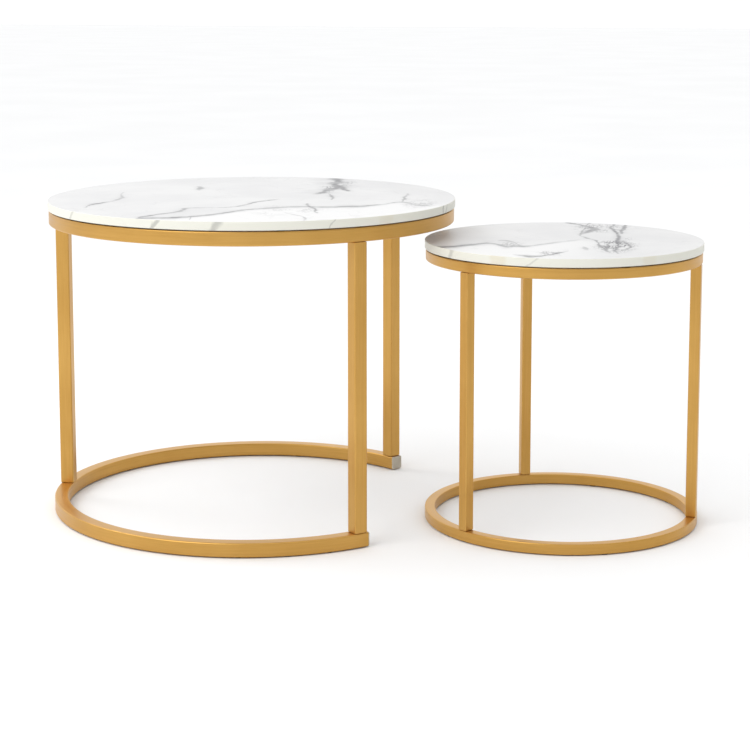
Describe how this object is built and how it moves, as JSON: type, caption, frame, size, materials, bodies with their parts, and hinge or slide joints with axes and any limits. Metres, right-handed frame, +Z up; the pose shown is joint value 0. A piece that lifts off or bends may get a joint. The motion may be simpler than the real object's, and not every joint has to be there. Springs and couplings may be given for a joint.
{
  "type": "nesting tables",
  "caption": "Two round marble-look side tables on gold square-tube frames; the lower, smaller one slides in under the larger through its open C-shaped base.",
  "frame": {"origin": "on the floor under the middle of the pair's box, with the small table pulled out as set out for use", "axes": "+Z up; +X runs through both table centres, from the large table to the small one, and is the way the small table pulls out; +Y completes a right-handed frame"},
  "size_m": [0.961, 0.6, 0.4625],
  "materials": {
    "marble_top": "fibreboard panel faced and edged in a satin white marble-look laminate with soft grey veins",
    "gold_frame": "satin gold on square steel tube",
    "cap_plastic": "satin light warm grey",
    "glide_rubber": "matt black",
    "spacer_nylon": "matt black",
    "zinc_steel": "zinc-plated",
    "insert_brass": "bright turned brass"
  },
  "bodies": {
    "large_table": {"large_base_ring": "gold_frame", "large_end_cap_front": "cap_plastic", "large_end_cap_rear": "cap_plastic", "large_glide_1": "glide_rubber", "large_glide_2": "glide_rubber", "large_glide_3": "glide_rubber", "large_glide_4": "glide_rubber", "large_glide_5": "glide_rubber", "large_glide_6": "glide_rubber", "large_leg_front": "gold_frame", "large_leg_outer": "gold_frame", "large_leg_rear": "gold_frame", "large_lower_bolt_front": "zinc_steel", "large_lower_bolt_outer": "zinc_steel", "large_lower_bolt_rear": "zinc_steel", "large_panel_insert_1": "insert_brass", "large_panel_insert_2": "insert_brass", "large_panel_insert_3": "insert_brass", "large_panel_insert_4": "insert_brass", "large_panel_screw_1": "zinc_steel", "large_panel_screw_2": "zinc_steel", "large_panel_screw_3": "zinc_steel", "large_panel_screw_4": "zinc_steel", "large_panel_spacer_1": "spacer_nylon", "large_panel_spacer_2": "spacer_nylon", "large_panel_spacer_3": "spacer_nylon", "large_panel_spacer_4": "spacer_nylon", "large_top": "marble_top", "large_top_ring": "gold_frame", "large_upper_bolt_front": "zinc_steel", "large_upper_bolt_outer": "zinc_steel", "large_upper_bolt_rear": "zinc_steel"},
    "small_table": {"small_base_ring": "gold_frame", "small_glide_1": "glide_rubber", "small_glide_2": "glide_rubber", "small_glide_3": "glide_rubber", "small_glide_4": "glide_rubber", "small_glide_5": "glide_rubber", "small_leg_front": "gold_frame", "small_leg_outer": "gold_frame", "small_leg_rear": "gold_frame", "small_lower_bolt_front": "zinc_steel", "small_lower_bolt_outer": "zinc_steel", "small_lower_bolt_rear": "zinc_steel", "small_panel_insert_1": "insert_brass", "small_panel_insert_2": "insert_brass", "small_panel_insert_3": "insert_brass", "small_panel_screw_1": "zinc_steel", "small_panel_screw_2": "zinc_steel", "small_panel_screw_3": "zinc_steel", "small_panel_spacer_1": "spacer_nylon", "small_panel_spacer_2": "spacer_nylon", "small_panel_spacer_3": "spacer_nylon", "small_top": "marble_top", "small_top_ring": "gold_frame", "small_upper_bolt_front": "zinc_steel", "small_upper_bolt_outer": "zinc_steel", "small_upper_bolt_rear": "zinc_steel"}
  },
  "joints": [
    {"name": "nest_slide", "type": "slide", "parent": "large_table", "child": "small_table", "axis": [1, 0, 0], "range_m": [-0.53, 0.3]}
  ]
}
